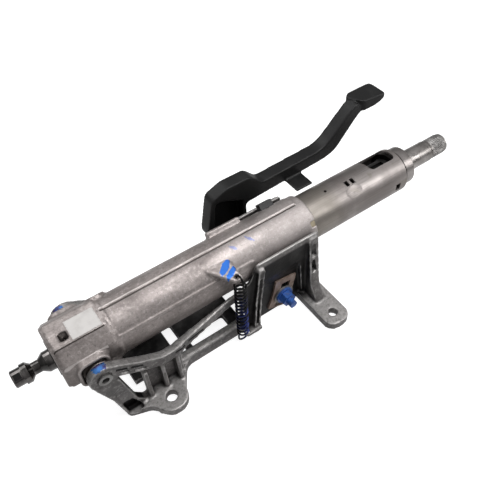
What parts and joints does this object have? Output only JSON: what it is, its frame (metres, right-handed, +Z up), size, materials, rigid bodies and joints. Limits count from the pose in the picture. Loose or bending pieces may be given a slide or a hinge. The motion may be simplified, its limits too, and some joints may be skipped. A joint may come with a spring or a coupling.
{
  "type": "steering column",
  "caption": "Manual steering column: cast jacket on a cast bracket, tilt clamp with hand lever, sliding tube and telescoping steering shaft.",
  "frame": {"origin": "middle of the upper mounting bolt pair, on the mounting plane under the bracket's feet", "axes": "+X along the column towards the steering wheel, +Z up from the mounting plane to the column, +Y towards the side of the clamp lever"},
  "size_m": [0.4835, 0.163, 0.1425],
  "materials": {
    "bracket_casting": "as cast",
    "jacket_casting": "as cast",
    "tube_steel": "drawn",
    "shaft_steel": "turned",
    "dark_steel": "oiled",
    "plated_steel": "plated",
    "bearing_steel": "ground",
    "spring_steel": "oiled",
    "browned_steel": "browned",
    "blue_steel": "paint daubed",
    "black_plastic": "moulded",
    "cream_plastic": "moulded",
    "seal_rubber": "moulded",
    "label_film": "printed film, blank"
  },
  "bodies": {
    "bracket": {"mounting_bracket": "bracket_casting", "pivot_screws": "plated_steel", "friction_plates": "browned_steel", "tilt_spring": "spring_steel"},
    "jacket": {"column_jacket": "jacket_casting", "pivot_bushes": "black_plastic", "upper_slide_bush": "cream_plastic", "lower_slide_bush": "cream_plastic", "lower_bearing_outer_ring": "bearing_steel", "lower_bearing_balls": "bearing_steel", "lower_bearing_clip": "spring_steel", "lower_seal": "seal_rubber", "reach_guide": "black_plastic", "blank_label": "label_film", "clamp_bolt": "blue_steel", "clamp_nut": "blue_steel", "nut_washer": "plated_steel", "slot_slider": "black_plastic", "fixed_cam": "plated_steel", "lever_washer": "plated_steel"},
    "tube": {"column_tube": "tube_steel", "bearing_carrier": "tube_steel", "upper_bearing_outer_ring": "bearing_steel", "upper_bearing_balls": "bearing_steel", "upper_bearing_clip": "spring_steel"},
    "upper_shaft": {"upper_shaft": "shaft_steel", "upper_bearing_inner_ring": "bearing_steel", "upper_shaft_clip": "spring_steel", "lock_sleeve": "dark_steel"},
    "lower_shaft": {"lower_shaft": "dark_steel", "lower_bearing_inner_ring": "bearing_steel", "lower_shaft_clip": "spring_steel"},
    "lever": {"clamp_lever": "black_plastic", "moving_cam": "plated_steel"}
  },
  "joints": [
    {"name": "tilt", "type": "hinge", "parent": "bracket", "child": "jacket", "pos_m": [-0.219, 0, 0.072], "axis": [0, -1, 0], "range_deg": [-2.5, 2.5], "deforming": ["tilt_spring"]},
    {"name": "reach", "type": "slide", "parent": "jacket", "child": "tube", "axis": [1, 0, 0], "range_m": [-0.025, 0.025]},
    {"name": "upper_shaft_turn", "type": "hinge", "parent": "tube", "child": "upper_shaft", "pos_m": [0.138, 0, 0.076], "axis": [1, 0, 0], "continuous": true},
    {"name": "lower_shaft_turn", "type": "hinge", "parent": "jacket", "child": "lower_shaft", "pos_m": [-0.238, 0, 0.076], "axis": [1, 0, 0], "continuous": true},
    {"name": "lever_turn", "type": "hinge", "parent": "jacket", "child": "lever", "pos_m": [-0.0315, 0, 0.0215], "axis": [0, -1, 0], "range_deg": [0, 45]}
  ],
  "couplings": [
    {"joint": "lower_shaft_turn", "follows": "upper_shaft_turn", "ratio": 1}
  ]
}
